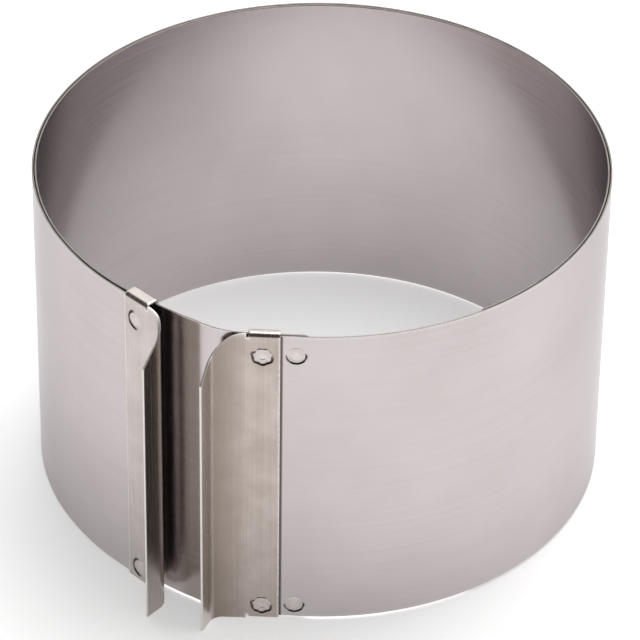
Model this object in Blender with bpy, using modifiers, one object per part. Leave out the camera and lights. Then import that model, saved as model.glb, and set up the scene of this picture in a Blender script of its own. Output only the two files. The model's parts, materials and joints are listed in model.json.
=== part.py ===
# Adjustable cake ring in sheet steel, standing on its lower rim.
#
# Two spring strips lie one inside the other and close the circle between them. The outer
# strip runs once round the back. The inner one starts under its right end, shows in the gap
# between the two handles and runs on inside the outer strip almost to where it began.
# The right handle is riveted through both strips. The left handle is riveted to the outer
# strip alone, and its two hooks run along the rims of the inner one when the ring is opened.
# Azimuths are in degrees about the ring's axis, 0 at the front (-Y) and positive towards +X.

import math

import bmesh
import bpy
from mathutils import Matrix, Vector

# Ring and strips, in metres
ring_radius = 0.083
ring_height = 0.100
band_thickness = 0.0005
band_gap = 0.0003
band_corner = 0.003
inner_band_span = 327.0
bulge_span = 22.4

# The strips' riveted ends run straight, at a tangent, past the circle by this angle
tail_angle = 8.0
tail_past_rivet = 0.0052
left_tail_ease = 14.0

# Where the rivets stand
right_rivets_azimuth = -10.6
left_rivets_azimuth = -36.4
rivet_drop = 0.0063
rivet_rise = 0.0046
joint_rivet_edge = 0.0014
inner_band_end_past_rivet = 0.0046

# Handles: one bent sheet each, with a hook over each rim and a lip for the fingers
handle_thickness = 0.0006
plate_past_rivet = 0.0048
hook_half_length = 0.0040
hook_relief = 0.0005
hook_bend = 0.0011
hook_lip_bend = 0.0006
corner_radius = 0.008
corner_slope = 48.0
lip_bend = 0.0045
right_lip_start = 0.0108
right_lip_angle = 68.0
right_lip_length = 0.0043
left_lip_start = 0.0073
left_lip_angle = 86.0
left_lip_length = 0.0052

# Tubular rivets: a domed head at one end, a tube split and rolled into a star at the other
head_radius = 0.0029
head_height = 0.0009
head_rim = 0.00025
shank_radius = 0.0016
bore_radius = 0.0011
bore_floor = 0.0004
clench_radius = 0.0028
clench_thickness = 0.0005
clench_lobes = 7
clench_lobe_depth = 0.00015

# Clearances
seat_gap = 0.0002
slide_gap = 0.0003
hook_gap = 0.0003
rim_gap = 0.0003
hole_gap = 0.0003
hook_head_gap = 0.0004

# Fineness
band_step = 2.0
arc_step = 15.0
rivet_steps = 28
edge_round = 0.0001

# What follows from these
inner_band_radius = ring_radius - band_thickness - band_gap
inner_band_bore = inner_band_radius - band_thickness
band_base = handle_thickness + rim_gap
rim_top = band_base + ring_height
upper_rivet = rim_top - rivet_drop
lower_rivet = band_base + rivet_rise
rivet_run = ring_radius * math.tan(math.radians(tail_angle))
joint_rivet_run = rivet_run - plate_past_rivet - joint_rivet_edge - head_radius
right_normal = right_rivets_azimuth + tail_angle
left_normal = left_rivets_azimuth - tail_angle
clench_reach = clench_radius + clench_lobe_depth
inner_band_under_clench = math.sqrt(inner_band_radius ** 2 - (rivet_run - clench_reach) ** 2)
left_lift = (clench_thickness + seat_gap + slide_gap
             - (ring_radius - band_thickness - inner_band_under_clench))
right_plate = ring_radius + seat_gap + handle_thickness / 2
left_plate = ring_radius + left_lift + seat_gap + handle_thickness / 2
right_hook_lip = inner_band_bore - hook_gap - handle_thickness / 2
left_hook_lip = (math.sqrt(inner_band_bore ** 2 - (rivet_run + hook_half_length) ** 2)
                 - hook_gap - handle_thickness / 2)
hook_lip_over_rim = rivet_rise - head_radius - hook_head_gap
right_hook_reach = right_plate - right_hook_lip
left_hook_reach = left_plate - left_hook_lip


def lip_tip(start, angle, length):
    """Along and out of the plate, from the rivets to the edge of a finger lip."""
    turn = math.radians(angle)
    along = start + lip_bend * math.sin(turn) + length * math.cos(turn)
    out = lip_bend * (1 - math.cos(turn)) + length * math.sin(turn)
    return along, out


# The ring stands centred on its footprint, so its axis is as far behind the origin as
# half of what the right handle's lip reaches past the front of the circle
tip_along, tip_out = lip_tip(right_lip_start, right_lip_angle, right_lip_length)
tip_x = rivet_run + tip_along
tip_y = right_plate + tip_out
tip_turn = math.radians(right_normal) - math.atan2(tip_x, tip_y)
axis_back = (math.hypot(tip_x, tip_y) * math.cos(tip_turn) - ring_radius) / 2


def clear_scene():
    for thing in list(bpy.data.objects):
        bpy.data.objects.remove(thing, do_unlink=True)


def new_collection(name):
    collection = bpy.data.collections.new(name)
    bpy.context.scene.collection.children.link(collection)
    return collection


def new_material(name, color, roughness):
    material = bpy.data.materials.new(name)
    material.use_nodes = True
    shader = material.node_tree.nodes["Principled BSDF"]
    shader.inputs["Base Color"].default_value = (*color, 1.0)
    shader.inputs["Metallic"].default_value = 1.0
    shader.inputs["Roughness"].default_value = roughness
    return material


def new_axis(name, azimuth, parent=None):
    """An empty on the ring's axis, with its -Y side turned to the given azimuth."""
    axis = bpy.data.objects.new(name, None)
    axis.empty_display_size = ring_radius / 2
    axis.rotation_euler.z = math.radians(azimuth)
    axis.parent = parent
    parts.objects.link(axis)
    return axis


def new_part(name, mesh, parent, material, collection):
    part = bpy.data.objects.new(name, mesh)
    part.parent = parent
    if material:
        mesh.materials.append(material)
    collection.objects.link(part)
    return part


def smooth_step(value):
    value = min(max(value, 0.0), 1.0)
    return value * value * (3 - 2 * value)


def stretch(angle):
    """How much further from the axis a tangent line is than its circle, at an angle past it."""
    return 1 / math.cos(math.radians(max(angle, 0.0)))


def outer_band_at(azimuth):
    """Radius of the outer strip's middle. It leaves the circle at both riveted ends."""
    radius = ring_radius - band_thickness / 2
    past_right = right_normal - azimuth
    past_left = azimuth - 360 - left_normal
    lift = left_lift * smooth_step(1 + past_left / left_tail_ease)
    return (radius + lift) * stretch(past_left) * stretch(past_right)


def inner_band_at(azimuth):
    """Radius of the inner strip's middle. It is pulled straight by the rivets and swells
    a little in the gap between the handles, then keeps to the circle."""
    radius = inner_band_radius - band_thickness / 2
    past_right = right_normal - azimuth
    ease = smooth_step((past_right - tail_angle) / (bulge_span - tail_angle))
    return radius * (1 + (stretch(min(past_right, bulge_span)) - 1) * (1 - ease))


def tail_end(run):
    return math.degrees(math.atan2(run, ring_radius))


def band_sheet(name, first, last, radius_at):
    """An upright strip as an open surface, with its four corners rounded."""
    count = math.ceil((last - first) / band_step)
    form = bmesh.new()
    before = None
    for index in range(count + 1):
        azimuth = first + (last - first) * index / count
        turn = math.radians(azimuth)
        radius = radius_at(azimuth)
        point = form.verts.new((radius * math.sin(turn), -radius * math.cos(turn), band_base))
        if before:
            form.edges.new((before, point))
        before = point
    raised = bmesh.ops.extrude_edge_only(form, edges=form.edges[:])["geom"]
    upper = [item for item in raised if isinstance(item, bmesh.types.BMVert)]
    bmesh.ops.translate(form, verts=upper, vec=(0, 0, ring_height))
    corners = [vert for vert in form.verts if len(vert.link_edges) == 2]
    bmesh.ops.bevel(form, geom=corners, offset=band_corner, segments=4, profile=0.5,
                    affect='VERTICES')
    bmesh.ops.recalc_face_normals(form, faces=form.faces[:])
    mesh = bpy.data.meshes.new(name)
    form.to_mesh(mesh)
    form.free()
    return mesh


def plate_outline(along):
    """Top edge of a handle's plate: a round shoulder, then a slope to the lip's edge."""
    past = max(along - hook_half_length - hook_relief, 0.0)
    slope = math.radians(corner_slope)
    if past < corner_radius * math.sin(slope):
        drop = corner_radius - math.sqrt(corner_radius ** 2 - past ** 2)
    else:
        past_round = past - corner_radius * math.sin(slope)
        drop = corner_radius * (1 - math.cos(slope)) + past_round * math.tan(slope)
    return rim_top + rim_gap + handle_thickness - drop


def plate_plan(start, angle, length):
    """The plate seen from above: (run along the sheet, along the plate, out of the plate)."""
    shoulder = hook_half_length + hook_relief
    plan = [(place, place, 0.0) for place in (-plate_past_rivet, hook_half_length, shoulder)]
    between = math.ceil((start - shoulder) / 0.001)
    for index in range(1, between + 1):
        place = shoulder + (start - shoulder) * index / between
        plan.append((place, place, 0.0))
    bends = math.ceil(angle / arc_step)
    for index in range(1, bends + 1):
        turn = math.radians(angle * index / bends)
        run = start + lip_bend * turn
        plan.append((run, start + lip_bend * math.sin(turn), lip_bend * (1 - math.cos(turn))))
    run, along, out = plan[-1]
    turn = math.radians(angle)
    for share in (0.5, 1.0):
        step = length * share
        plan.append((run + step, along + step * math.cos(turn), out + step * math.sin(turn)))
    return plan


def hook_path(reach):
    """Side view of a hook, as (in over the rim, up from where it leaves the plate)."""
    path = []
    steps = math.ceil(90 / arc_step)
    for index in range(1, steps + 1):
        turn = math.radians(90 * index / steps)
        path.append((hook_bend * (1 - math.cos(turn)), hook_bend * math.sin(turn)))
    for index in range(steps + 1):
        turn = math.radians(90 * index / steps)
        path.append((reach - hook_lip_bend * (1 - math.sin(turn)),
                     hook_bend - hook_lip_bend * (1 - math.cos(turn))))
    path.append((reach, hook_bend - rim_gap - handle_thickness / 2 - hook_lip_over_rim))
    return path


def extrude_row(form, row):
    """Extrude a chain of edges once and give the new chain's vertices, in the same order."""
    edges = [form.edges.get(pair) for pair in zip(row, row[1:])]
    made = bmesh.ops.extrude_edge_only(form, edges=edges)["geom"]
    fresh = [item for item in made if isinstance(item, bmesh.types.BMVert)]
    return [min(fresh, key=lambda vert: (vert.co - old.co).length) for old in row]


def handle_sheet(name, side, plate, reach, start, angle, length):
    """A handle as an open surface. side is 1 where the lip points to +X, else -1."""
    plan = plate_plan(start, angle, length)
    hook_line = rim_top + rim_gap + handle_thickness / 2 - hook_bend
    foot_line = handle_thickness / 2 + hook_bend
    form = bmesh.new()
    foot = []
    for _, along, out in plan:
        place = (side * (rivet_run + along), -plate - out, foot_line)
        foot.append(form.verts.new(place))
    for pair in zip(foot, foot[1:]):
        form.edges.new(pair)
    head = extrude_row(form, foot)
    for vert, (run, _, _) in zip(head, plan):
        vert.co.z = min(hook_line, plate_outline(run) - hook_bend)
    shoulder = 2
    crest = extrude_row(form, head[shoulder:])
    for vert, (run, _, _) in zip(crest, plan[shoulder:]):
        vert.co.z = plate_outline(run)
    hem = extrude_row(form, foot[shoulder:])
    for vert in hem:
        vert.co.z = 0.0
    for row, line, up in ((head[:shoulder], hook_line, 1), (foot[:shoulder], foot_line, -1)):
        for inward, rise in hook_path(reach):
            row = extrude_row(form, row)
            for vert in row:
                vert.co.y = -plate + inward
                vert.co.z = line + up * rise
    bmesh.ops.recalc_face_normals(form, faces=form.faces[:])
    mesh = bpy.data.meshes.new(name)
    form.to_mesh(mesh)
    form.free()
    return mesh


def thicken(part, thickness):
    solid = part.modifiers.new("sheet", 'SOLIDIFY')
    solid.thickness = thickness
    solid.offset = 0.0
    solid.use_even_offset = True
    rounding = part.modifiers.new("deburred_edges", 'BEVEL')
    rounding.limit_method = 'ANGLE'
    rounding.angle_limit = math.radians(50)
    rounding.width = edge_round
    rounding.segments = 1


def cut(part, cutter):
    hole = part.modifiers.new("rivet_holes", 'BOOLEAN')
    hole.operation = 'DIFFERENCE'
    hole.solver = 'EXACT'
    hole.object = cutter


def smooth_shading(part):
    part.data.shade_smooth()
    part.data.set_sharp_from_angle(angle=math.radians(30))


def rivet_profile(grip):
    """Half section of a rivet from the dome's top down its outer side and up its bore.
    The head's seat is at height 0 and the star's at -grip."""
    profile = [Vector((0.0, 0.0, head_height))]
    dome = head_height - head_rim
    for index in range(1, 5):
        turn = math.radians(90 * index / 4)
        profile.append(Vector((head_radius * math.sin(turn), 0.0, head_rim + dome * math.cos(turn))))
    profile.append(Vector((head_radius, 0.0, 0.0)))
    profile.append(Vector((shank_radius, 0.0, 0.0)))
    profile.append(Vector((shank_radius, 0.0, -grip)))
    profile.append(Vector((clench_radius, 0.0, -grip)))
    profile.append(Vector((clench_radius, 0.0, -grip - clench_thickness * 0.55)))
    curl = (clench_radius + bore_radius) / 2
    profile.append(Vector((curl, 0.0, -grip - clench_thickness)))
    profile.append(Vector((bore_radius, 0.0, -grip - clench_thickness * 0.6)))
    profile.append(Vector((bore_radius, 0.0, -bore_floor)))
    profile.append(Vector((0.0, 0.0, -bore_floor)))
    return profile


def turned_mesh(name, profile):
    """A profile turned about the Z axis by a Screw modifier, as a closed mesh."""
    outline = bpy.data.meshes.new(name + "_profile")
    outline.from_pydata(profile, [(i, i + 1) for i in range(len(profile) - 1)], [])
    lathe = bpy.data.objects.new(name + "_profile", outline)
    cutters.objects.link(lathe)
    screw = lathe.modifiers.new("turned", 'SCREW')
    screw.steps = rivet_steps
    screw.render_steps = rivet_steps
    screw.use_merge_vertices = True
    screw.merge_threshold = 0.000001
    screw.use_smooth_shade = True
    seen = lathe.evaluated_get(bpy.context.evaluated_depsgraph_get())
    mesh = bpy.data.meshes.new_from_object(seen)
    mesh.name = name
    bpy.data.objects.remove(lathe, do_unlink=True)
    return mesh


def rivet_mesh(name, grip):
    """A rivet whose rolled end is pressed into lobes."""
    mesh = turned_mesh(name, rivet_profile(grip))
    form = bmesh.new()
    form.from_mesh(mesh)
    bmesh.ops.remove_doubles(form, verts=form.verts[:], dist=0.000001)
    for vert in form.verts:
        radius = math.hypot(vert.co.x, vert.co.y)
        if vert.co.z < -grip + seat_gap / 2 and radius > shank_radius + seat_gap:
            wave = clench_lobe_depth * math.cos(clench_lobes * math.atan2(vert.co.y, vert.co.x))
            grown = 1 + wave / radius
            vert.co.x *= grown
            vert.co.y *= grown
    bmesh.ops.recalc_face_normals(form, faces=form.faces[:])
    form.to_mesh(mesh)
    form.free()
    return mesh


def place_rivet(name, axis, side, run, seat, height, grip, head_out):
    """A rivet square to the flat it passes through: seat is its head's distance from the axis."""
    rivet = new_part(name, rivet_mesh(name, grip), axis, rivet_steel, parts)
    rivet.location = (side * run, -seat, height)
    rivet.rotation_euler.x = math.radians(90 if head_out else -90)
    smooth_shading(rivet)
    return rivet


def hole_cutter(name, places):
    """Cylinders through a wall, one at each (axis, side, run, height)."""
    mesh = bpy.data.meshes.new(name)
    form = bmesh.new()
    radius = shank_radius + hole_gap
    depth = 0.012
    for axis, side, run, height in places:
        turned = Matrix.Rotation(axis.rotation_euler.z, 4, 'Z')
        middle = Matrix.Translation((side * run, -ring_radius, height))
        lying = Matrix.Rotation(math.radians(90), 4, 'X')
        bmesh.ops.create_cone(form, cap_ends=True, segments=24, radius1=radius, radius2=radius,
                              depth=depth, matrix=turned @ middle @ lying)
    form.to_mesh(mesh)
    form.free()
    cutter = new_part(name, mesh, ring_axis, None, cutters)
    cutter.hide_render = True
    cutter.display_type = 'WIRE'
    return cutter


clear_scene()
parts = new_collection("cake_ring")
cutters = new_collection("cutters")
band_steel = new_material("band_steel", (0.60, 0.56, 0.54), 0.34)
handle_steel = new_material("handle_steel", (0.55, 0.51, 0.49), 0.40)
rivet_steel = new_material("rivet_steel", (0.62, 0.58, 0.56), 0.30)

ring_axis = new_axis("ring_axis", 0.0)
ring_axis.location = (0.0, axis_back, 0.0)
right_axis = new_axis("right_handle_axis", right_normal, ring_axis)
left_axis = new_axis("left_handle_axis", left_normal, ring_axis)

# Where each pair of rivets goes through
heights = {"upper": upper_rivet, "lower": lower_rivet}
right_holes = [(right_axis, -1, rivet_run, height) for height in heights.values()]
joint_holes = [(right_axis, -1, joint_rivet_run, height) for height in heights.values()]
left_holes = [(left_axis, 1, rivet_run, height) for height in heights.values()]
inner_holes = hole_cutter("inner_band_holes", right_holes + joint_holes)
outer_holes = hole_cutter("outer_band_holes", right_holes + joint_holes + left_holes)

tail = tail_end(rivet_run + tail_past_rivet)
outer_band = new_part(
    "outer_band",
    band_sheet("outer_band", right_normal - tail, left_normal + tail + 360, outer_band_at),
    ring_axis, band_steel, parts)
thicken(outer_band, band_thickness)
cut(outer_band, outer_holes)
smooth_shading(outer_band)

inner_band_last = right_normal - tail_end(joint_rivet_run - inner_band_end_past_rivet)
inner_band = new_part(
    "inner_band",
    band_sheet("inner_band", inner_band_last - inner_band_span, inner_band_last, inner_band_at),
    ring_axis, band_steel, parts)
thicken(inner_band, band_thickness)
cut(inner_band, inner_holes)
smooth_shading(inner_band)

right_handle = new_part(
    "right_handle",
    handle_sheet("right_handle", -1, right_plate, right_hook_reach,
                 right_lip_start, right_lip_angle, right_lip_length),
    right_axis, handle_steel, parts)
left_handle = new_part(
    "left_handle",
    handle_sheet("left_handle", 1, left_plate, left_hook_reach,
                 left_lip_start, left_lip_angle, left_lip_length),
    left_axis, handle_steel, parts)
for handle in (right_handle, left_handle):
    thicken(handle, handle_thickness)
    cut(handle, outer_holes)
    smooth_shading(handle)

# The right rivets have their heads inside and their stars out; the other four the reverse
inside_seat = inner_band_bore - seat_gap
right_seat = right_plate + handle_thickness / 2 + seat_gap
left_seat = left_plate + handle_thickness / 2 + seat_gap
joint_seat = ring_radius + seat_gap
left_clench_seat = ring_radius + left_lift - band_thickness - seat_gap
for level, height in heights.items():
    place_rivet("right_rivet_" + level, right_axis, -1, rivet_run, inside_seat, height,
                right_seat - inside_seat, False)
    place_rivet("joint_rivet_" + level, right_axis, -1, joint_rivet_run, joint_seat, height,
                joint_seat - inside_seat, True)
    place_rivet("left_rivet_" + level, left_axis, 1, rivet_run, left_seat, height,
                left_seat - left_clench_seat, True)
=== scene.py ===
# Adjustable cake ring: two sprung steel strips, two folded handles and six rivets
import json
import math

import bmesh
import bpy
from mathutils import Matrix, Vector
from mathutils.kdtree import KDTree


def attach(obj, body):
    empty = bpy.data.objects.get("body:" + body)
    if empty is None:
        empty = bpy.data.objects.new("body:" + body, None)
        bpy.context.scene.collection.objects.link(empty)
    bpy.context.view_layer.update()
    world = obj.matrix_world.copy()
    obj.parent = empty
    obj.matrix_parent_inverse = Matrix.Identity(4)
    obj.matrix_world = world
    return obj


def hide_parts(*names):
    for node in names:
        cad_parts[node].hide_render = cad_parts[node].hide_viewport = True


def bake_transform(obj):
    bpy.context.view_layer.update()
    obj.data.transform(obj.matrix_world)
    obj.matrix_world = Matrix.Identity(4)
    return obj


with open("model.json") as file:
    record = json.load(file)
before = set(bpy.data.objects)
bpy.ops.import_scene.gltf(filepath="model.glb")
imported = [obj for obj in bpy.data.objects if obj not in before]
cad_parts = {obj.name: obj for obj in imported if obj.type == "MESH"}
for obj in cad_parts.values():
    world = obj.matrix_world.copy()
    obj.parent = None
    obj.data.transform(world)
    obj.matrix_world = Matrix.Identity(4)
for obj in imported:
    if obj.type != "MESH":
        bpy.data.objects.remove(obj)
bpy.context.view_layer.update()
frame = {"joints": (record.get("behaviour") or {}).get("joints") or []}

ringAxis = Vector(frame["joints"][0]["pos_m"])
print("frame loaded, ring axis at", [round(value, 6) for value in ringAxis])

# Sizes are metres and azimuths are degrees about the ring's axis, 0 in front and growing towards +X


tolerance = dict(length=0.000001, cut=0.0000001, angle=0.05)      # metres, metres, degrees
sheetEdges = dict(
    smoothTo=32.0,          # degrees between faces that are shaded as one
    cutFrom=50.0,           # degrees from which an edge counts as cut and is rounded
    segments=2,
)


def easeStep(value):
    value = min(max(value, 0.0), 1.0)
    return value * value * (3 - 2 * value)


def stretch(angle):
    return 1 / math.cos(math.radians(max(angle, 0.0)))      # a tangent against its circle


def turnTo(azimuth):
    return Matrix.Rotation(math.radians(azimuth), 4, 'Z')


def finishPiece(form, name, body, materials, nodes):
    # moves a form to the ring's axis and makes it a piece
    bmesh.ops.translate(form, verts=form.verts[:], vec=ringAxis)
    mesh = bpy.data.meshes.new(name)
    form.to_mesh(mesh)
    form.free()
    mesh.shade_smooth()
    mesh.set_sharp_from_angle(angle=math.radians(sheetEdges["smoothTo"]))
    for material in materials:
        mesh.materials.append(material)
    piece = bpy.data.objects.new(name, mesh)
    bpy.context.scene.collection.objects.link(piece)
    if body:
        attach(piece, body)
    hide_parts(*nodes)
    print("made", name, "with", len(mesh.polygons), "faces")
    return piece


def mapSheet(form, place):
    # UV is metres over the flat sheet, so the grain follows every bend
    layer = form.loops.layers.uv.new("sheet")
    for face in form.faces:
        for loop in face.loops:
            loop[layer].uv = place(loop.vert.co)


def markEdges(form, reach, isSeam=None):
    # edgeNear is 1 on the cut outline and fades to 0 further in
    layer = form.verts.layers.float.new("edgeNear")
    rim = [vert for vert in form.verts if vert.is_boundary and not (isSeam and isSeam(vert.co))]
    tree = KDTree(len(rim))
    for index, vert in enumerate(rim):
        tree.insert(vert.co, index)
    tree.balance()
    for vert in form.verts:
        vert[layer] = max(0.0, 1 - tree.find(vert.co)[2] / reach)


def thicken(form, sheet, rounding, isSeam=None):
    # the open sheet is its outer face; the wall grows inwards and its cut edges are rounded
    outside = set(form.faces)
    made = bmesh.ops.solidify(form, geom=form.faces[:], thickness=sheet)["geom"]
    outside.update(item for item in made if isinstance(item, bmesh.types.BMFace))
    form.normal_update()
    sharp = set()
    least = math.radians(sheetEdges["cutFrom"])
    for face in form.faces:
        if face in outside:
            continue
        face.material_index = 1
        if isSeam and all(isSeam(vert.co) for vert in face.verts):
            continue
        sharp.update(edge for edge in face.edges if edge.calc_face_angle(0.0) > least)
    if isSeam:
        sharp = {edge for edge in sharp if not all(isSeam(vert.co) for vert in edge.verts)}
    cut = [edge for edge in form.edges if edge in sharp]
    bmesh.ops.bevel(form, geom=cut, offset=rounding, offset_type='OFFSET',
                    segments=sheetEdges["segments"], profile=0.5, affect='EDGES',
                    clamp_overlap=True, material=-1)


# Materials

patterns = dict(
    coarse=dict(Scale=0.25, Detail=3.0, Roughness=0.6),
    fine=dict(Scale=1.0, Detail=4.0, Roughness=0.7),
    cloud=dict(Detail=4.0, Roughness=0.55),
    scratchSets=((0.35, 1.0), (-0.6, 1.7), (1.3, 2.3)),    # turn and fineness of each set
    scratchLength=14.0,     # against their distance
    scratchWidth=0.012,
    gather=dict(Scale=55.0, Detail=2.0),
    gatherFrom=0.55,        # scratches show where this noise is high
    gatherTo=0.75,
    rub=dict(Scale=900.0, Detail=3.0),
    rubFrom=0.12,
    rubTo=0.6,
    toneFrom=0.72,          # streaks and cloud together, from the dark to the light colour
    toneTo=1.28,
    streakFrom=0.3,         # streaks alone, from the smooth to the rough value
    streakTo=0.7,
    grainHeight=0.0001,
    # colour of the painted shade in the grooves round the rivet heads
    grooveShade=(0.045, 0.036, 0.030),
)


def newGroup(name, inputs, outputs):
    group = bpy.data.node_groups.new(name, 'ShaderNodeTree')
    for label, kind, value in inputs:
        socket = group.interface.new_socket(name=label, in_out='INPUT', socket_type=kind)
        if value is not None:
            socket.default_value = value
    for label, kind in outputs:
        group.interface.new_socket(name=label, in_out='OUTPUT', socket_type=kind)
    return group


def addNode(tree, kind, links=None, **settings):
    # links maps an input's name or index to a value or to another node's output
    node = tree.nodes.new(kind)
    for key, value in settings.items():
        setattr(node, key, value)
    for key, value in (links or {}).items():
        if isinstance(value, bpy.types.NodeSocket):
            tree.links.new(value, node.inputs[key])
        else:
            node.inputs[key].default_value = value
    return node


def grainGroup():
    # long fine streaks along the rolling or brushing, over a soft cloud
    group = newGroup("sheetGrain", [
        ("Vector", 'NodeSocketVector', None), ("Along", 'NodeSocketFloat', 60.0),
        ("Across", 'NodeSocketFloat', 3000.0), ("Cloud", 'NodeSocketFloat', 40.0)],
        [("Streaks", 'NodeSocketFloat'), ("Cloud", 'NodeSocketFloat'), ("Height", 'NodeSocketFloat')])
    given = addNode(group, "NodeGroupInput")
    scale = addNode(group, "ShaderNodeCombineXYZ",
                    {"X": given.outputs["Across"], "Y": given.outputs["Along"], "Z": 1.0})
    drawn = addNode(group, "ShaderNodeVectorMath",
                    {0: given.outputs["Vector"], 1: scale.outputs["Vector"]}, operation='MULTIPLY')
    coarse = addNode(group, "ShaderNodeTexNoise",
                     {"Vector": drawn.outputs["Vector"], **patterns["coarse"]})
    fine = addNode(group, "ShaderNodeTexNoise",
                   {"Vector": drawn.outputs["Vector"], **patterns["fine"]})
    both = addNode(group, "ShaderNodeMath", {0: coarse.outputs["Fac"], 1: fine.outputs["Fac"]},
                   operation='ADD')
    half = addNode(group, "ShaderNodeMath", {0: both.outputs[0], 1: 0.5}, operation='MULTIPLY')
    cloud = addNode(group, "ShaderNodeTexNoise",
                    {"Vector": given.outputs["Vector"], "Scale": given.outputs["Cloud"],
                     **patterns["cloud"]})
    result = addNode(group, "NodeGroupOutput")
    group.links.new(half.outputs[0], result.inputs["Streaks"])
    group.links.new(cloud.outputs["Fac"], result.inputs["Cloud"])
    group.links.new(fine.outputs["Fac"], result.inputs["Height"])
    return group


def scratchGroup():
    # short thin scratches, lying mostly one way
    group = newGroup("handlingScratches", [
        ("Vector", 'NodeSocketVector', None), ("Scale", 'NodeSocketFloat', 90.0),
        ("Amount", 'NodeSocketFloat', 0.5)], [("Mask", 'NodeSocketFloat')])
    given = addNode(group, "NodeGroupInput")
    masks = []
    for turn, fineness in patterns["scratchSets"]:
        laid = addNode(group, "ShaderNodeMapping", {
            "Vector": given.outputs["Vector"], "Rotation": (0.0, 0.0, turn),
            "Scale": (fineness, fineness * patterns["scratchLength"], 1.0)})
        cells = addNode(group, "ShaderNodeTexVoronoi", {
            "Vector": laid.outputs["Vector"], "Scale": given.outputs["Scale"]},
            feature='DISTANCE_TO_EDGE')
        line = addNode(group, "ShaderNodeMapRange", {
            "Value": cells.outputs["Distance"], "From Min": 0.0,
            "From Max": patterns["scratchWidth"], "To Min": 1.0, "To Max": 0.0})
        masks.append(line.outputs["Result"])
    most = addNode(group, "ShaderNodeMath", {0: masks[0], 1: masks[1]}, operation='MAXIMUM')
    most = addNode(group, "ShaderNodeMath", {0: most.outputs[0], 1: masks[2]}, operation='MAXIMUM')
    gate = addNode(group, "ShaderNodeTexNoise", {
        "Vector": given.outputs["Vector"], **patterns["gather"]})
    some = addNode(group, "ShaderNodeMapRange", {
        "Value": gate.outputs["Fac"], "From Min": patterns["gatherFrom"],
        "From Max": patterns["gatherTo"]})
    some = addNode(group, "ShaderNodeMath",
                   {0: some.outputs["Result"], 1: given.outputs["Amount"]}, operation='MULTIPLY')
    mask = addNode(group, "ShaderNodeMath", {0: most.outputs[0], 1: some.outputs[0]},
                   operation='MULTIPLY')
    result = addNode(group, "NodeGroupOutput")
    group.links.new(mask.outputs[0], result.inputs["Mask"])
    return group


def wearGroup():
    # rubbed brighter near the cut outline, broken up by a noise; on the handles this is also a
    # painted highlight along the outline
    group = newGroup("edgeWear", [
        ("Vector", 'NodeSocketVector', None), ("Near", 'NodeSocketFloat', 0.0),
        ("Amount", 'NodeSocketFloat', 1.0)], [("Mask", 'NodeSocketFloat')])
    given = addNode(group, "NodeGroupInput")
    rough = addNode(group, "ShaderNodeTexNoise", {
        "Vector": given.outputs["Vector"], **patterns["rub"]})
    level = addNode(group, "ShaderNodeMath",
                    {0: given.outputs["Near"], 1: rough.outputs["Fac"]}, operation='MULTIPLY')
    shaped = addNode(group, "ShaderNodeMapRange", {
        "Value": level.outputs[0], "From Min": patterns["rubFrom"],
        "From Max": patterns["rubTo"]})
    mask = addNode(group, "ShaderNodeMath",
                   {0: shaped.outputs["Result"], 1: given.outputs["Amount"]}, operation='MULTIPLY')
    result = addNode(group, "NodeGroupOutput")
    group.links.new(mask.outputs[0], result.inputs["Mask"])
    return group


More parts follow.
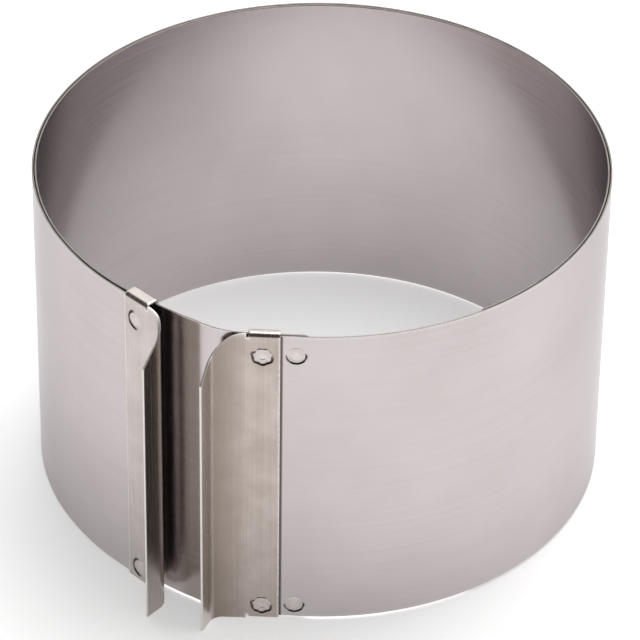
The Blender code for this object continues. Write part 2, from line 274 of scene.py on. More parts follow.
def dishGroup():
    # the sheet's ramp down to a pair of rivets, one above the other, on the side they lean to;
    # the groove is the same ramp's middle, 4 x ramp x (1 - ramp), used as painted shade round the
    # heads
    group = newGroup("rivetDish", [
        ("Vector", 'NodeSocketVector', None), ("Place", 'NodeSocketFloat', 0.0),
        ("Middle", 'NodeSocketFloat', 0.05), ("Apart", 'NodeSocketFloat', 0.04),
        ("Radius", 'NodeSocketFloat', 0.0025), ("Reach", 'NodeSocketFloat', 0.003),
        ("Lobes", 'NodeSocketFloat', 7.0), ("Lobe Depth", 'NodeSocketFloat', 0.0),
        ("Toward", 'NodeSocketVector', None), ("Full", 'NodeSocketFloat', 0.4),
        ("None", 'NodeSocketFloat', -0.2)],
        [("Depth", 'NodeSocketFloat'), ("Groove", 'NodeSocketFloat')])
    given = addNode(group, "NodeGroupInput")
    point = addNode(group, "ShaderNodeSeparateXYZ", {"Vector": given.outputs["Vector"]})
    across = addNode(group, "ShaderNodeMath",
                     {0: point.outputs["X"], 1: given.outputs["Place"]}, operation='SUBTRACT')
    level = addNode(group, "ShaderNodeMath",
                    {0: point.outputs["Y"], 1: given.outputs["Middle"]}, operation='SUBTRACT')
    which = addNode(group, "ShaderNodeMath", {0: level.outputs[0]}, operation='SIGN')
    which = addNode(group, "ShaderNodeMath",
                    {0: which.outputs[0], 1: given.outputs["Apart"]}, operation='MULTIPLY')
    level = addNode(group, "ShaderNodeMath",
                    {0: level.outputs[0], 1: which.outputs[0]}, operation='SUBTRACT')
    both = addNode(group, "ShaderNodeCombineXYZ", {"X": across.outputs[0], "Y": level.outputs[0]})
    away = addNode(group, "ShaderNodeVectorMath", {0: both.outputs["Vector"]}, operation='LENGTH')
    turn = addNode(group, "ShaderNodeMath",
                   {0: level.outputs[0], 1: across.outputs[0]}, operation='ARCTAN2')
    turn = addNode(group, "ShaderNodeMath",
                   {0: turn.outputs[0], 1: given.outputs["Lobes"]}, operation='MULTIPLY')
    wave = addNode(group, "ShaderNodeMath", {0: turn.outputs[0]}, operation='SINE')
    wave = addNode(group, "ShaderNodeMath",
                   {0: wave.outputs[0], 1: given.outputs["Lobe Depth"]}, operation='MULTIPLY')
    past = addNode(group, "ShaderNodeMath",
                   {0: away.outputs["Value"], 1: wave.outputs[0]}, operation='SUBTRACT')
    ramp = addNode(group, "ShaderNodeMapRange", {
        "Value": past.outputs[0], "From Min": given.outputs["Radius"],
        "From Max": given.outputs["Reach"], "To Min": 1.0, "To Max": 0.0})
    aim = addNode(group, "ShaderNodeVectorMath",
                  {0: both.outputs["Vector"]}, operation='NORMALIZE')
    aim = addNode(group, "ShaderNodeVectorMath",
                  {0: aim.outputs["Vector"], 1: given.outputs["Toward"]}, operation='DOT_PRODUCT')
    part = addNode(group, "ShaderNodeMapRange", {
        "Value": aim.outputs["Value"], "From Min": given.outputs["None"],
        "From Max": given.outputs["Full"]}, interpolation_type='SMOOTHSTEP')
    depth = addNode(group, "ShaderNodeMath",
                    {0: ramp.outputs["Result"], 1: part.outputs["Result"]}, operation='MULTIPLY')
    rise = addNode(group, "ShaderNodeMath",
                   {0: 4.0, 1: ramp.outputs["Result"]}, operation='MULTIPLY')
    fall = addNode(group, "ShaderNodeMath",
                   {0: 1.0, 1: ramp.outputs["Result"]}, operation='SUBTRACT')
    groove = addNode(group, "ShaderNodeMath",
                     {0: fall.outputs[0], 1: rise.outputs[0]}, operation='MULTIPLY')
    groove = addNode(group, "ShaderNodeMath",
                     {0: groove.outputs[0], 1: part.outputs["Result"]}, operation='MULTIPLY')
    result = addNode(group, "NodeGroupOutput")
    group.links.new(depth.outputs[0], result.inputs["Depth"])
    group.links.new(groove.outputs[0], result.inputs["Groove"])
    return group


sheetGrain = grainGroup()
handlingScratches = scratchGroup()
edgeWear = wearGroup()
rivetDish = dishGroup()

stripFinish = dict(
    dark=(0.505, 0.457, 0.460), light=(0.570, 0.520, 0.528), worn=(0.640, 0.600, 0.590),
    smooth=0.17, rough=0.27, along=14.0, across=2600.0, turned=True, cloud=26.0,
    bump=0.05, scratches=0.5, wear=0.5, grazing=(0.74, 0.73, 0.74))
# the handles' worn colour is partly real wear and partly a painted highlight along their cut outline
handleFinish = dict(
    dark=(0.373, 0.316, 0.287), light=(0.535, 0.475, 0.442), worn=(0.780, 0.750, 0.730),
    smooth=0.20, rough=0.32, along=9.0, across=1500.0, turned=False, cloud=90.0,
    bump=0.10, scratches=0.6, wear=0.9, grazing=(0.70, 0.69, 0.68))
leftFinish = dict(
    handleFinish, dark=(0.480, 0.432, 0.410), light=(0.585, 0.538, 0.518))
# painted shade: the strips' cut edges are coloured far darker than their faces
rimShadedFinish = dict(
    dark=(0.220, 0.200, 0.190), light=(0.330, 0.308, 0.295), worn=(0.400, 0.380, 0.370),
    smooth=0.34, rough=0.50, along=300.0, across=2400.0, turned=False, cloud=300.0,
    bump=0.06, scratches=0.0, wear=0.0, grazing=(0.40, 0.40, 0.40))
# painted highlight: the handles' cut edges are coloured far lighter than their faces
cutLitFinish = dict(
    dark=(0.720, 0.695, 0.675), light=(0.830, 0.810, 0.795), worn=(0.880, 0.860, 0.840),
    smooth=0.42, rough=0.60, along=300.0, across=2400.0, turned=False, cloud=300.0,
    bump=0.06, scratches=0.0, wear=0.0, grazing=(0.80, 0.80, 0.80))
rivetFinish = dict(
    dark=(0.500, 0.450, 0.430), light=(0.600, 0.550, 0.530), worn=(0.700, 0.660, 0.640),
    smooth=0.16, rough=0.26, along=700.0, across=900.0, turned=False, cloud=500.0,
    bump=0.05, scratches=0.3, wear=0.6, grazing=(0.70, 0.69, 0.68))


def steel(name, finish, dish=None, bands=()):
    # dish places the rivets' grooves on the sheet, as a bump and as painted shade; bands are
    # stretches along it with a tint, painted shade and painted reflection
    material = bpy.data.materials.new(name)
    material.use_nodes = True
    tree = material.node_tree
    shader = tree.nodes["Principled BSDF"]
    shader.inputs["Metallic"].default_value = 1.0
    shader.inputs["Specular Tint"].default_value = (*finish["grazing"], 1.0)
    flat = addNode(tree, "ShaderNodeUVMap", uv_map="sheet")
    turn = (0.0, 0.0, math.pi / 2 if finish["turned"] else 0.0)
    laid = addNode(tree, "ShaderNodeMapping", {"Vector": flat.outputs["UV"], "Rotation": turn})
    grain = addNode(tree, "ShaderNodeGroup", node_tree=sheetGrain)
    scratches = addNode(tree, "ShaderNodeGroup", node_tree=handlingScratches)
    wear = addNode(tree, "ShaderNodeGroup", node_tree=edgeWear)
    near = addNode(tree, "ShaderNodeAttribute", attribute_name="edgeNear")
    for group in (grain, scratches, wear):
        tree.links.new(laid.outputs["Vector"], group.inputs["Vector"])
    grain.inputs["Along"].default_value = finish["along"]
    grain.inputs["Across"].default_value = finish["across"]
    grain.inputs["Cloud"].default_value = finish["cloud"]
    scratches.inputs["Amount"].default_value = finish["scratches"]
    wear.inputs["Amount"].default_value = finish["wear"]
    tree.links.new(near.outputs["Fac"], wear.inputs["Near"])
    tone = addNode(tree, "ShaderNodeMath", {
        0: grain.outputs["Streaks"], 1: grain.outputs["Cloud"]}, operation='ADD')
    spread = addNode(tree, "ShaderNodeMapRange", {
        "Value": tone.outputs[0], "From Min": patterns["toneFrom"],
        "From Max": patterns["toneTo"]})
    metal = addNode(tree, "ShaderNodeMix", {
        "Factor": spread.outputs["Result"], "A": (*finish["dark"], 1.0),
        "B": (*finish["light"], 1.0)}, data_type='RGBA')
    rubbed = addNode(tree, "ShaderNodeMix", {
        "Factor": wear.outputs["Mask"], "A": metal.outputs["Result"],
        "B": (*finish["worn"], 1.0)}, data_type='RGBA')
    marked = addNode(tree, "ShaderNodeMix", {
        "Factor": scratches.outputs["Mask"], "A": rubbed.outputs["Result"],
        "B": (*finish["worn"], 1.0)}, data_type='RGBA')
    colour = marked.outputs["Result"]
    if bands:
        place = addNode(tree, "ShaderNodeSeparateXYZ", {"Vector": flat.outputs["UV"]})
    for band in bands:
        rise, fall = [addNode(tree, "ShaderNodeMapRange", {
            "Value": place.outputs["X"], "From Min": first, "From Max": last,
            "To Min": low, "To Max": high}, interpolation_type='SMOOTHSTEP')
            for first, last, low, high in ((*band["rise"], 0.0, band["amount"]),
                                           (*band["fall"], 1.0, 0.0))]
        deep = addNode(tree, "ShaderNodeMath", {
            0: rise.outputs["Result"], 1: fall.outputs["Result"]}, operation='MULTIPLY')
        tinted = addNode(tree, "ShaderNodeMix", {
            "Factor": deep.outputs[0], "A": colour, "B": (*band["tint"], 1.0)},
            data_type='RGBA')
        colour = tinted.outputs["Result"]
    if dish:
        seat = addNode(tree, "ShaderNodeGroup", {
            "Vector": flat.outputs["UV"]}, node_tree=rivetDish)
        for label, value in dish.items():
            seat.inputs[label].default_value = value
        # painted shade: the groove round each rivet head darkens the sheet, most on one side
        grooveShadeLevel = addNode(tree, "ShaderNodeMath", {
            0: seat.outputs["Groove"], 1: rivets["grooveShade"]}, operation='MULTIPLY')
        grooveShaded = addNode(tree, "ShaderNodeMix", {
            "Factor": grooveShadeLevel.outputs[0], "A": colour, "B": (*patterns["grooveShade"], 1.0)},
            data_type='RGBA')
        colour = grooveShaded.outputs["Result"]
    tree.links.new(colour, shader.inputs["Base Color"])
    matte = addNode(tree, "ShaderNodeMapRange", {
        "Value": grain.outputs["Streaks"], "From Min": patterns["streakFrom"],
        "From Max": patterns["streakTo"], "To Min": finish["smooth"],
        "To Max": finish["rough"]})
    tree.links.new(matte.outputs["Result"], shader.inputs["Roughness"])
    relief = addNode(tree, "ShaderNodeMath", {
        0: grain.outputs["Height"], 1: scratches.outputs["Mask"]}, operation='SUBTRACT')
    bump = addNode(tree, "ShaderNodeBump", {
        "Strength": finish["bump"], "Distance": patterns["grainHeight"],
        "Height": relief.outputs[0]})
    if dish:
        raised = addNode(tree, "ShaderNodeMath", {0: 1.0, 1: seat.outputs["Depth"]},
                         operation='SUBTRACT')
        bump = addNode(tree, "ShaderNodeBump", {
            "Strength": 1.0, "Distance": dish["Reach"] - dish["Radius"],
            "Height": raised.outputs[0], "Normal": bump.outputs["Normal"]})
    tree.links.new(bump.outputs["Normal"], shader.inputs["Normal"])
    return material


# Strips

strips = dict(
    radius=0.083,           # outside of the outer strip
    height=0.100,
    sheet=0.0005,
    gap=0.0003,             # between the two strips
    base=0.0009,            # lower rims, lifted off the floor by the handles' hooks
    corner=0.003,
    cornerFacets=6,
    rimSteps=(0.0, 0.0005, 0.001, 0.002, 0.004, 0.008, 0.016, 0.030),      # rows from a rim
    rounding=0.00009,       # of the cut edges
    column=1.0,             # degrees
    seamColumn=0.2,
    tailAngle=8.0,          # the riveted ends run straight past the circle
    leftEase=14.0,
    swell=22.4,             # where the inner strip is back on its circle
    bulge=0.0012,           # pressed out between the handles, straight from its crest to its end
    bulgeStart=9.0,
    bulgeCrest=20.5,
    bulgeEnd=30.0,
    outerPastRivet=0.0052,  # from the rivets to the outer strip's ends
    innerSpan=327.0,
    innerPastRivet=0.0046,
    seam=156.5,             # where the outer strip's two halves meet, at the back
    wearReach=0.0016,
)


def outerStripAt(azimuth):
    # outside of the outer strip: it leaves the circle at both riveted ends
    pastRight = rightNormal - azimuth
    pastLeft = azimuth - 360 - leftNormal
    lift = leftLift * easeStep(1 + pastLeft / strips["leftEase"])
    return (outerRadius + lift) * stretch(pastLeft) * stretch(pastRight)


def innerStripAt(azimuth):
    # outside of the inner strip: it swells a little in the gap between the handles
    pastRight = rightNormal - azimuth
    fade = (pastRight - strips["tailAngle"]) / (strips["swell"] - strips["tailAngle"])
    swelling = stretch(min(pastRight, strips["swell"])) - 1
    crest = strips["bulgeCrest"]
    rising = easeStep((pastRight - strips["bulgeStart"]) / (crest - strips["bulgeStart"]))
    falling = min(max((strips["bulgeEnd"] - pastRight) / (strips["bulgeEnd"] - crest), 0.0), 1.0)
    return (innerRadius * (1 + swelling * (1 - easeStep(fade)))
            + strips["bulge"] * rising * falling)


def roundCorner(form, end, rim, side, up):
    # planes a blank's corner off to a round, in small facets
    radius = strips["corner"]
    middle = Vector((end - side * radius, 0.0, rim - up * radius))
    facets = strips["cornerFacets"]
    for index in range(facets):
        turn = math.radians(90 * (index + 0.5) / facets)
        away = Vector((side * math.cos(turn), 0.0, up * math.sin(turn)))
        bmesh.ops.bisect_plane(form, geom=form.verts[:] + form.edges[:] + form.faces[:],
                               dist=tolerance["cut"], plane_co=middle + away * radius,
                               plane_no=away, clear_outer=True)


def rimLines(height):
    # rows of a strip's grid, closer together towards both rims
    steps = strips["rimSteps"]
    return [*steps, height / 2, *(height - step for step in reversed(steps))]


def columnLines(first, last, seams):
    # azimuths of a strip's columns, closer together at a seam
    count = math.ceil((last - first) / strips["column"])
    lines = [first + (last - first) * index / count for index in range(count + 1)]
    near = [seam + side * strips["seamColumn"] for seam in seams for side in (-1, 1)]
    lines += [azimuth for azimuth in near if first < azimuth < last]
    return sorted(lines)


def stripForm(first, last, radiusAt, seam=None):
    # a flat blank, its free corners rounded, rolled about the axis
    form = bmesh.new()
    azimuths = columnLines(first, last, [seam] if seam is not None else [])
    rows = rimLines(strips["height"])
    bmesh.ops.create_grid(form, x_segments=len(azimuths) - 1, y_segments=len(rows) - 1, size=0.5)
    for vert in form.verts:
        column = round((vert.co.x + 0.5) * (len(azimuths) - 1))
        row = round((vert.co.y + 0.5) * (len(rows) - 1))
        vert.co = (math.radians(azimuths[column]) * outerRadius, 0.0, rows[row] + strips["base"])
    for end, side in ((first, -1), (last, 1)):
        if end != seam:
            place = math.radians(end) * outerRadius
            roundCorner(form, place, rimTop, side, 1)
            roundCorner(form, place, strips["base"], side, -1)
    seamPlace = None if seam is None else math.radians(seam) * outerRadius

    def flatSeam(point):
        return seamPlace is not None and abs(point.x - seamPlace) < tolerance["length"]

    mapSheet(form, lambda point: (point.x, point.z))
    markEdges(form, strips["wearReach"], flatSeam)
    for vert in form.verts:
        azimuth = math.degrees(vert.co.x / outerRadius)
        turn = math.radians(azimuth)
        radius = radiusAt(azimuth)
        vert.co = (radius * math.sin(turn), -radius * math.cos(turn), vert.co.z)
    form.normal_update()
    face = form.faces[:][0]
    if face.normal.dot(face.calc_center_median() * Vector((1, 1, 0))) < 0:
        bmesh.ops.reverse_faces(form, faces=form.faces[:])

    def rolledSeam(point):
        azimuth = math.degrees(math.atan2(point.x, -point.y))
        return (seam is not None
                and abs((azimuth - seam + 180) % 360 - 180) < tolerance["angle"])

    thicken(form, strips["sheet"], strips["rounding"], rolledSeam)
    return form


def tailSpan(run):
    return math.degrees(math.atan2(run, outerRadius))


# Handles

handles = dict(
    sheet=0.0006,
    rounding=0.00012,
    seat=0.0002,            # between the plate and the strip
    rimGap=0.0003,          # between a hook and the rim
    hookGap=0.0003,         # between a hook's lip and the inner strip
    hookBend=0.0011,
    hookLipBend=0.0006,
    hookHalf=0.0040,        # half a hook's length
    relief=0.0005,          # slit between a hook and the shoulder
    hookOverRim=0.0013,
    pastRivet=0.0048,
    shoulder=0.008,         # radius of the rounded top corner
    slope=48.0,
    lipBend=0.0045,
    knee=0.070,             # above this height the plate's rows follow its outline
    footRows=0.010,         # rows stand closer below this height and above the next
    headRows=0.085,
    footStep=0.0014,
    middleStep=0.0045,
    headStep=0.0008,
    plateStep=0.0008,       # from column to column
    bendStep=0.0003,
    lipStep=0.0004,
    edgeRows=2,
    bendSteps=9,
    lipBendSteps=7,
    wearReach=0.0009,
)
rightLip = dict(start=0.0108, angle=68.0, length=0.0043)
leftLip = dict(start=0.0073, angle=86.0, length=0.0052)


def plateOutline(run):
    # top edge of a plate: a round shoulder, then a slope down to the lip's edge
    past = max(run - handles["hookHalf"] - handles["relief"], 0.0)
    slope = math.radians(handles["slope"])
    radius = handles["shoulder"]
    if past < radius * math.sin(slope):
        drop = radius - math.sqrt(radius ** 2 - past ** 2)
    else:
        drop = radius * (1 - math.cos(slope)) + (past - radius * math.sin(slope)) * math.tan(slope)
    return rimTop + handles["rimGap"] + handles["sheet"] - drop


def platePlan(lip, run):
    # outer face of the sheet seen from above, as along the plate and out of it
    bend = handles["lipBend"]
    inside = bend - handles["sheet"] / 2
    turn = min(max((run - lip["start"]) / bend, 0.0), math.radians(lip["angle"]))
    along = min(run, lip["start"]) + inside * math.sin(turn)
    out = inside * (1 - math.cos(turn))
    past = max(run - lip["start"] - bend * math.radians(lip["angle"]), 0.0)
    return along + past * math.cos(turn), out + past * math.sin(turn)


def spread(first, last, step):
    count = max(1, round((last - first) / step))
    return [first + (last - first) * index / count for index in range(count)]


def plateLines(lip):
    shoulder = handles["hookHalf"] + handles["relief"]
    bendEnd = lip["start"] + handles["lipBend"] * math.radians(lip["angle"])
    lines = spread(-handles["pastRivet"], handles["hookHalf"], handles["plateStep"])
    lines += [handles["hookHalf"]]
    lines += spread(shoulder, lip["start"], handles["bendStep"])
    lines += spread(lip["start"], bendEnd, handles["bendStep"])
    lines += spread(bendEnd, bendEnd + lip["length"], handles["lipStep"])
    return lines + [bendEnd + lip["length"]]


def extrudeRow(form, row, move):
    # extrudes a row of edges once and gives the new row
    made = bmesh.ops.extrude_edge_only(form, edges=row)["geom"]
    verts = [item for item in made if isinstance(item, bmesh.types.BMVert)]
    bmesh.ops.translate(form, verts=verts, vec=move)
    fresh = set(verts)
    return [item for item in made if isinstance(item, bmesh.types.BMEdge)
            and item.verts[0] in fresh and item.verts[1] in fresh]


def spinRow(form, row, centre, angle, steps):
    verts = list(dict.fromkeys(vert for edge in row for vert in edge.verts))
    made = bmesh.ops.spin(form, geom=verts + row, cent=centre, axis=(1, 0, 0),
                          angle=math.radians(angle), steps=steps, use_merge=False,
                          use_duplicate=False)["geom_last"]
    return [item for item in made if isinstance(item, bmesh.types.BMEdge)]


def foldHook(form, row, plate, reach, line, up):
    # over the rim, inwards, and down behind it
    half = handles["sheet"] / 2
    bend = handles["hookBend"]
    lipBend = handles["hookLipBend"]
    row = spinRow(form, row, (0, -plate + bend, line), -90 * up, handles["bendSteps"])
    row = extrudeRow(form, row, (0, reach - lipBend - bend, 0))
    row = spinRow(form, row, (0, -plate + reach - lipBend, line + up * (bend - lipBend)),
                  -90 * up, handles["lipBendSteps"])
    down = handles["rimGap"] + half + handles["hookOverRim"] - lipBend
    extrudeRow(form, row, (0, 0, -up * down))


def handleForm(lip, side, plate, reach):
    # side is 1 where the lip points to +X, else -1
    form = bmesh.new()
    half = handles["sheet"] / 2
    headLine = rimTop + handles["rimGap"] + half - handles["hookBend"]
    footLine = half + handles["hookBend"]
    runs = plateLines(lip)
    rows = spread(footLine, handles["footRows"], handles["footStep"])
    rows += spread(handles["footRows"], handles["headRows"], handles["middleStep"])
    rows += spread(handles["headRows"], headLine, handles["headStep"]) + [headLine]
    bmesh.ops.create_grid(form, x_segments=len(runs) - 1, y_segments=len(rows) - 1, size=0.5)
    head = {}
    foot = {}
    for vert in form.verts:
        column = round((vert.co.x + 0.5) * (len(runs) - 1))
        row = round((vert.co.y + 0.5) * (len(rows) - 1))
        along, out = platePlan(lip, runs[column])
        top = min(headLine, plateOutline(runs[column]) - handles["hookBend"])
        height = rows[row]
        if height > handles["knee"]:
            share = (height - handles["knee"]) / (headLine - handles["knee"])
            height = handles["knee"] + (top - handles["knee"]) * share
        vert.co = (side * along, -plate - half - out, height)
        if row == len(rows) - 1:
            head[column] = vert
        elif row == 0:
            foot[column] = vert

    hooked = runs.index(handles["hookHalf"])

    def rowEdges(line, first, last):
        return [form.edges.get((line[column], line[column + 1])) for column in range(first, last)]

    headHook = rowEdges(head, 0, hooked)
    footHook = rowEdges(foot, 0, hooked)
    crest = rowEdges(head, hooked + 1, len(runs) - 1)
    hem = rowEdges(foot, hooked + 1, len(runs) - 1)
    for index in range(handles["edgeRows"]):
        crest = extrudeRow(form, crest, (0, 0, handles["hookBend"] / handles["edgeRows"]))
        hem = extrudeRow(form, hem, (0, 0, -footLine / handles["edgeRows"]))
    for vert in {vert for edge in crest for vert in edge.verts}:
        run = min(runs, key=lambda other: (
            Vector(platePlan(lip, other))
            - Vector((side * vert.co.x, -plate - half - vert.co.y))).length)
        vert.co.z = plateOutline(run)
    foldHook(form, headHook, plate, reach, headLine, 1)
    foldHook(form, footHook, plate, reach, footLine, -1)

    def flatPlace(point):
        inward = max(point.y + plate + half, 0.0)
        outward = max(-plate - half - point.y, 0.0)
        middle = rimTop / 2
        return (side * point.x + outward, point.z + (inward if point.z > middle else -inward))

    mapSheet(form, flatPlace)
    markEdges(form, handles["wearReach"])
    form.normal_update()
    front = min(form.faces, key=lambda face: (face.calc_center_median()
                                              - Vector((0, -plate, rimTop / 2))).length)
    if front.normal.y > 0:
        bmesh.ops.reverse_faces(form, faces=form.faces[:])
    thicken(form, handles["sheet"], handles["rounding"])
    return form


# Rivets

rivets = dict(
    rightAzimuth=-10.6,
    leftAzimuth=-36.4,
    drop=0.0063,            # below the upper rims
    rise=0.0046,            # above the lower rims
    head=0.0025,
    dome=0.0004,            # a low dome that runs straight down to the sheet
    seat=0.00002,           # pressed tight on the sheet
    grooveShade=0.9,              # strength of the painted shade in the groove round a head, darkest on one side
    shank=0.0016,
    bore=0.00105,
    boreDepth=0.00016,
    star=0.0025,
    roll=0.0005,            # room that the strips keep for a star
    starRise=0.00030,
    rollFoot=0.00008,
    lobes=7,
    lobeDepth=0.00013,
    notch=0.45,             # how far the roll is lowered between two lobes
    jointFromEdge=0.0043,   # joint rivets from the right handle's edge
    core=0.1,               # inner share of the roll that stays round
    steps=84,
    domeSteps=18,
    rollSteps=12,
    starReach=0.00295,      # with its lobes, where the inner strip passes under it
    slideGap=0.0003,        # between a left star and the inner strip
)


def turnedForm(profile, steps):
    # spins a half section about the Z axis into a closed form
    form = bmesh.new()
    verts = [form.verts.new((radius, 0, height)) for radius, height in profile]
    edges = [form.edges.new(pair) for pair in zip(verts, verts[1:])]
    bmesh.ops.spin(form, geom=verts + edges, cent=(0, 0, 0), axis=(0, 0, 1),
                   angle=math.radians(360), steps=steps, use_merge=True, use_duplicate=False)
    bmesh.ops.remove_doubles(form, verts=form.verts[:], dist=tolerance["length"])
    bmesh.ops.recalc_face_normals(form, faces=form.faces[:])
    return form


def arcPoints(centreRadius, centreHeight, radius, first, last, steps):
    points = []
    for index in range(steps + 1):
        turn = math.radians(first + (last - first) * index / steps)
        points.append((centreRadius + radius * math.cos(turn),
                       centreHeight + radius * math.sin(turn)))
    return points


def rivetForm(grip):
    # the head's seat is at height 0 and the star's at -grip
    head = rivets["head"]
    sphere = (head ** 2 + rivets["dome"] ** 2) / (2 * rivets["dome"])
    slope = math.degrees(math.asin(head / sphere))
    profile = arcPoints(0, rivets["dome"] - sphere, sphere, 90, 90 - slope,
                        rivets["domeSteps"])
    profile[0] = (0.0, rivets["dome"])
    profile += [(rivets["shank"], 0.0), (rivets["shank"], -grip), (rivets["star"], -grip)]
    foot = rivets["rollFoot"]
    rise = rivets["starRise"] - foot
    crest = (rivets["star"] + rivets["bore"]) / 2
    wide = rivets["star"] - crest
    last = math.pi - math.asin(1 - rivets["boreDepth"] / rise)
    for index in range(rivets["rollSteps"] + 1):
        turn = last * index / rivets["rollSteps"]
        profile.append((crest + wide * math.cos(turn), -grip - foot - rise * math.sin(turn)))
    profile.append((0.0, profile[-1][1]))
    form = turnedForm(profile, rivets["steps"])
    seat = tolerance["length"] - grip       # only what lies past the sheet is lobed
    for vert in form.verts:
        radius = math.hypot(vert.co.x, vert.co.y)
        share = (radius - rivets["bore"]) / (rivets["star"] - rivets["bore"])
        if vert.co.z > seat or share < rivets["core"]:
            continue
        wave = -math.sin(rivets["lobes"] * math.atan2(vert.co.y, vert.co.x))
        grown = 1 + rivets["lobeDepth"] * wave * share / radius
        vert.co.x *= grown
        vert.co.y *= grown
        vert.co.z += (-grip - vert.co.z) * rivets["notch"] * (1 - wave) / 2 * share
    return form


def placeRivet(name, body, node, normal, across, seat, height, grip, headOut):
    form = rivetForm(grip)
    mapSheet(form, lambda point: (point.x + point.z, point.y + point.z))
    worn = form.verts.layers.float.new("edgeNear")
    for vert in form.verts:
        vert[worn] = 1 - easeStep(math.hypot(vert.co.x, vert.co.y) / rivets["head"])
    lay = Matrix.Rotation(math.radians(90 if headOut else -90), 4, 'X')
    place = turnTo(normal) @ Matrix.Translation((across, -seat, height)) @ lay
    bmesh.ops.transform(form, matrix=place, verts=form.verts[:])
    return finishPiece(form, name, body, (rivetSteel,), [node])


# What follows from the sizes

outerRadius = strips["radius"]
innerRadius = outerRadius - strips["sheet"] - strips["gap"]
innerBore = innerRadius - strips["sheet"]
rimTop = strips["base"] + strips["height"]
rivetRun = outerRadius * math.tan(math.radians(strips["tailAngle"]))
rightNormal = rivets["rightAzimuth"] + strips["tailAngle"]
leftNormal = rivets["leftAzimuth"] - strips["tailAngle"]
rivetHeights = {"upper": rimTop - rivets["drop"], "lower": strips["base"] + rivets["rise"]}
underStar = math.sqrt(innerRadius ** 2 - (rivetRun - rivets["starReach"]) ** 2)
leftLift = (rivets["roll"] + handles["seat"] + rivets["slideGap"]
            - (outerRadius - strips["sheet"] - underStar))
rightPlate = outerRadius + handles["seat"] + handles["sheet"] / 2
leftPlate = rightPlate + leftLift
jointRun = rivetRun - handles["pastRivet"] - rivets["jointFromEdge"]


def rivetPair(place, lobes, radius, reach, toward, none, full):
    # a groove from radius to reach, deepest towards one side and none on the other
    return {"Place": place, "Middle": sum(rivetHeights.values()) / 2,
            "Apart": (rivetHeights["upper"] - rivetHeights["lower"]) / 2,
            "Radius": radius, "Reach": reach,
            "Lobes": lobes, "Lobe Depth": rivets["lobeDepth"] if lobes else 0.0,
            "Toward": toward, "None": none, "Full": full}


def unrolled(run):
    # place on the outer strip's blank, for a run along the right handle's tangent
    return math.radians(rightNormal) * outerRadius + outerRadius * math.atan(run / outerRadius)


# bands of painted shade and painted reflection along a flat sheet: where each rises and falls, how
# strong it is, and its colour
handleEdge = unrolled(handles["pastRivet"] - rivetRun)
# painted shadow: a dark line on the outer strip along the right handle's edge
edgeShade = dict(rise=(handleEdge - 0.0004, handleEdge - 0.0002),
                 fall=(handleEdge + 0.0004, handleEdge + 0.0009),
                 amount=0.95, tint=(0.10, 0.08, 0.07))
# painted shade: the right plate darkens towards its lip bend
lipShade = dict(rise=(0.0015, 0.0135), fall=(0.0138, 0.0158), amount=0.85,
                tint=(0.25, 0.205, 0.175))
rightLipReflection = dict(rise=(0.0155, 0.0172), fall=(0.030, 0.031), amount=0.85,
                   tint=(0.800, 0.750, 0.715))      # painted reflection: the right lip's end is lightened
# painted shade: the left lip is darkened from its bend out
leftLipShade = dict(rise=(0.0105, 0.0130), fall=(0.030, 0.031), amount=0.65,
                 tint=(0.400, 0.350, 0.320))
gapFrom, gapFull, gapLast, gapEnd = [math.radians(rightNormal - past) * outerRadius
                                     for past in (26.5, 23.0, 20.7, 20.3)]
gapReflection = dict(rise=(gapFrom, gapFull), fall=(gapLast, gapEnd), amount=0.6,
                tint=(0.300, 0.262, 0.215))        # painted reflection of the handles' lips on the inner strip between the handles

grooves = dict(             # none and full say how far round its rivet a groove runs
    joint=dict(radius=0.0024, reach=0.0032, toward=(0.15, -1.0, 0.0), none=-0.2, full=0.35),
    star=dict(radius=0.0026, reach=0.0034, toward=(0.25, -1.0, 0.0), none=-0.5, full=0.4),
    left=dict(radius=0.0023, reach=0.0034, toward=(-0.97, -0.24, 0.0), none=-0.05, full=0.45),
)
jointDish = rivetPair(unrolled(-jointRun), 0, **grooves["joint"])
starDish = rivetPair(0.0, rivets["lobes"], **grooves["star"])
leftDish = rivetPair(0.0, 0, **grooves["left"])

stripSteel = steel("stripSteel", stripFinish)
innerSteel = steel("innerSteel", stripFinish, None, (gapReflection,))
jointSteel = steel("jointSteel", stripFinish, jointDish, (edgeShade,))
rightSteel = steel("rightSteel", handleFinish, starDish, (lipShade, rightLipReflection))
leftSteel = steel("leftSteel", leftFinish, leftDish, (leftLipShade,))
rimShadedSteel = steel("rimShadedSteel", rimShadedFinish)
cutLitSteel = steel("cutLitSteel", cutLitFinish)
rivetSteel = steel("rivetSteel", rivetFinish)
print("materials made")


# The pieces

outerTail = tailSpan(rivetRun + strips["outerPastRivet"])

rightHalf = finishPiece(
    stripForm(rightNormal - outerTail, strips["seam"], outerStripAt, strips["seam"]),
    "outerStripRight", None, (jointSteel, rimShadedSteel), ["outer_band"])
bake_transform(rightHalf)
leftHalf = finishPiece(
    stripForm(strips["seam"], leftNormal + outerTail + 360, outerStripAt, strips["seam"]),
    "outerStripLeft", None, (stripSteel, rimShadedSteel), ["outer_band"])
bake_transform(leftHalf)

innerLast = rightNormal - tailSpan(jointRun - strips["innerPastRivet"])
innerStrip = finishPiece(
    stripForm(innerLast - strips["innerSpan"], innerLast, innerStripAt),
    "innerStrip", "fixed_end", (innerSteel, rimShadedSteel), ["inner_band"])

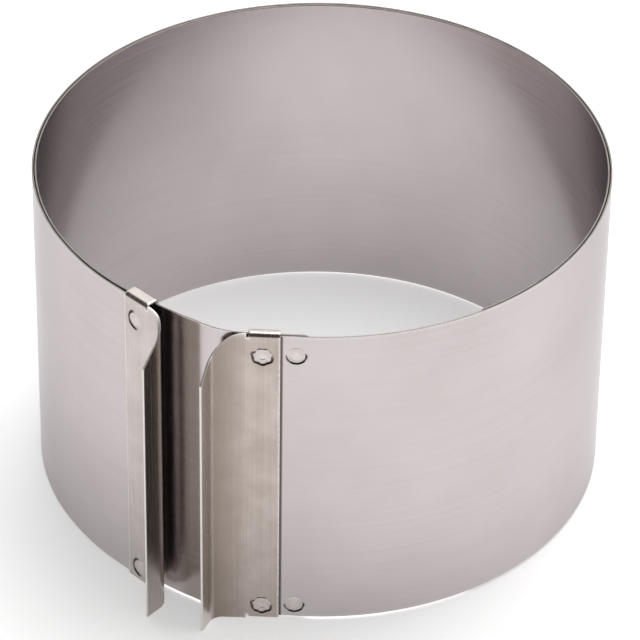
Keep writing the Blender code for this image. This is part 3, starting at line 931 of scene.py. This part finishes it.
rightReach = rightPlate - (innerBore - handles["hookGap"] - handles["sheet"] / 2)
leftBore = math.sqrt(innerBore ** 2 - (rivetRun + handles["hookHalf"]) ** 2)
leftReach = leftPlate - (leftBore - handles["hookGap"] - handles["sheet"] / 2)
for name, body, node, metal, lip, side, plate, reach, normal in (
        ("rightHandle", "fixed_end", "right_handle", rightSteel, rightLip, -1, rightPlate,
         rightReach, rightNormal),
        ("leftHandle", "sliding_end", "left_handle", leftSteel, leftLip, 1, leftPlate,
         leftReach, leftNormal)):
    form = handleForm(lip, side, plate, reach)
    bmesh.ops.translate(form, verts=form.verts[:], vec=(side * rivetRun, 0, 0))
    bmesh.ops.transform(form, matrix=turnTo(normal), verts=form.verts[:])
    finishPiece(form, name, body, (metal, cutLitSteel), [node])

insideSeat = innerBore - rivets["seat"]
rightSeat = rightPlate + handles["sheet"] / 2 + rivets["seat"]
leftSeat = leftPlate + handles["sheet"] / 2 + rivets["seat"]
jointSeat = outerRadius + rivets["seat"]
starSeat = outerRadius + leftLift - strips["sheet"] - rivets["seat"]
for level, height in rivetHeights.items():
    title = level.capitalize()
    placeRivet("rightRivet" + title, "fixed_end", "right_rivet_" + level, rightNormal, -rivetRun,
               insideSeat, height, rightSeat - insideSeat, False)
    placeRivet("jointRivet" + title, "fixed_end", "joint_rivet_" + level, rightNormal, -jointRun,
               jointSeat, height, jointSeat - insideSeat, True)
    placeRivet("leftRivet" + title, "sliding_end", "left_rivet_" + level, leftNormal, rivetRun,
               leftSeat, height, leftSeat - starSeat, True)


# Floor, light and camera

studio = dict(
    floorSize=6.0, floorCells=8, floorColor=(0.90, 0.90, 0.90), floorRough=0.9, floorGlow=0.43,
    keyEnergy=39.0, keySize=1.8, keyPlace=(0.40, 0.74, 2.50), keyTarget=(0.0, 0.0, 0.0),
    fillEnergy=5.0, fillSize=1.2, fillPlace=(-0.10, -1.60, 0.90), fillTarget=(0.0, -0.1, 0.0),
    wallColor=(1.0, 0.985, 0.97), wallLight=0.95, ceilingLight=0.08, wallTop=0.56, wallSoft=0.06,
    wallLean=(0.377, 0.51),     # the bright walls reach higher towards +X and +Y
    panelLight=0.5, panelAt=(0.0, 0.80, 0.60), panelFrom=0.955, panelTo=0.985,     # behind, high
)


def makeFloor():
    form = bmesh.new()
    bmesh.ops.create_grid(form, x_segments=studio["floorCells"], y_segments=studio["floorCells"],
                          size=studio["floorSize"] / 2)
    mesh = bpy.data.meshes.new("studioFloor")
    form.to_mesh(mesh)
    form.free()
    surface = bpy.data.materials.new("paleFloor")
    surface.use_nodes = True
    shader = surface.node_tree.nodes["Principled BSDF"]
    shader.inputs["Base Color"].default_value = (*studio["floorColor"], 1.0)
    shader.inputs["Roughness"].default_value = studio["floorRough"]
    shader.inputs["Specular IOR Level"].default_value = 0.0
    shader.inputs["Emission Color"].default_value = (1.0, 1.0, 1.0, 1.0)
    shader.inputs["Emission Strength"].default_value = studio["floorGlow"]
    mesh.materials.append(surface)
    piece = bpy.data.objects.new("studioFloor", mesh)
    bpy.context.scene.collection.objects.link(piece)


def aimLight(name, place, target, energy, size, mirrored=True):
    data = bpy.data.lights.new(name, 'AREA')
    data.energy = energy
    data.shape = 'SQUARE'
    data.size = size
    lamp = bpy.data.objects.new(name, data)
    lamp.visible_glossy = mirrored      # a fill that isn't mirrored only lights the floor
    lamp.location = place
    lamp.rotation_euler = (Vector(target) - Vector(place)).to_track_quat('-Z', 'Y').to_euler()
    bpy.context.scene.collection.objects.link(lamp)


def studioWorld():
    # pale walls all round under a dark ceiling
    world = bpy.data.worlds.new("studioWorld")
    bpy.context.scene.world = world
    world.use_nodes = True
    tree = world.node_tree
    background = tree.nodes["Background"]
    where = addNode(tree, "ShaderNodeTexCoord")
    lean = addNode(tree, "ShaderNodeVectorMath", {
        0: where.outputs["Generated"],
        1: (-studio["wallLean"][0], -studio["wallLean"][1], 1.0)}, operation='DOT_PRODUCT')
    level = addNode(tree, "ShaderNodeMapRange", {
        "Value": lean.outputs["Value"],
        "From Min": studio["wallTop"] - studio["wallSoft"],
        "From Max": studio["wallTop"] + studio["wallSoft"],
        "To Min": studio["wallLight"], "To Max": studio["ceilingLight"]},
        interpolation_type='SMOOTHSTEP')
    aside = addNode(tree, "ShaderNodeVectorMath", {
        0: where.outputs["Generated"], 1: studio["panelAt"]}, operation='DOT_PRODUCT')
    panel = addNode(tree, "ShaderNodeMapRange", {
        "Value": aside.outputs["Value"], "From Min": studio["panelFrom"],
        "From Max": studio["panelTo"], "To Max": studio["panelLight"]},
        interpolation_type='SMOOTHSTEP')
    total = addNode(tree, "ShaderNodeMath", {
        0: level.outputs["Result"], 1: panel.outputs["Result"]}, operation='ADD')
    tree.links.new(total.outputs[0], background.inputs["Strength"])
    background.inputs["Color"].default_value = (*studio["wallColor"], 1.0)


makeFloor()
studioWorld()
aimLight("keyLight", studio["keyPlace"], studio["keyTarget"], studio["keyEnergy"],
         studio["keySize"])
aimLight("fillLight", studio["fillPlace"], studio["fillTarget"], studio["fillEnergy"],
         studio["fillSize"], mirrored=False)

view = dict(
    lens=247.5, sensor=36.0, place=(0.0, -1.026727, 0.82623), pitch=37.2256, roll=0.8048)
lens = bpy.data.cameras.new("photoCamera")
lens.sensor_width = view["sensor"]
lens.sensor_fit = 'HORIZONTAL'
lens.lens = view["lens"]
camera = bpy.data.objects.new("photoCamera", lens)
camera.matrix_world = (Matrix.Translation(view["place"])
                       @ Matrix.Rotation(math.radians(90 - view["pitch"]), 4, 'X')
                       @ Matrix.Rotation(math.radians(view["roll"]), 4, 'Z'))
bpy.context.scene.collection.objects.link(camera)
bpy.context.scene.camera = camera
bpy.context.scene.view_settings.view_transform = 'Standard'
print("camera, floor and light made")
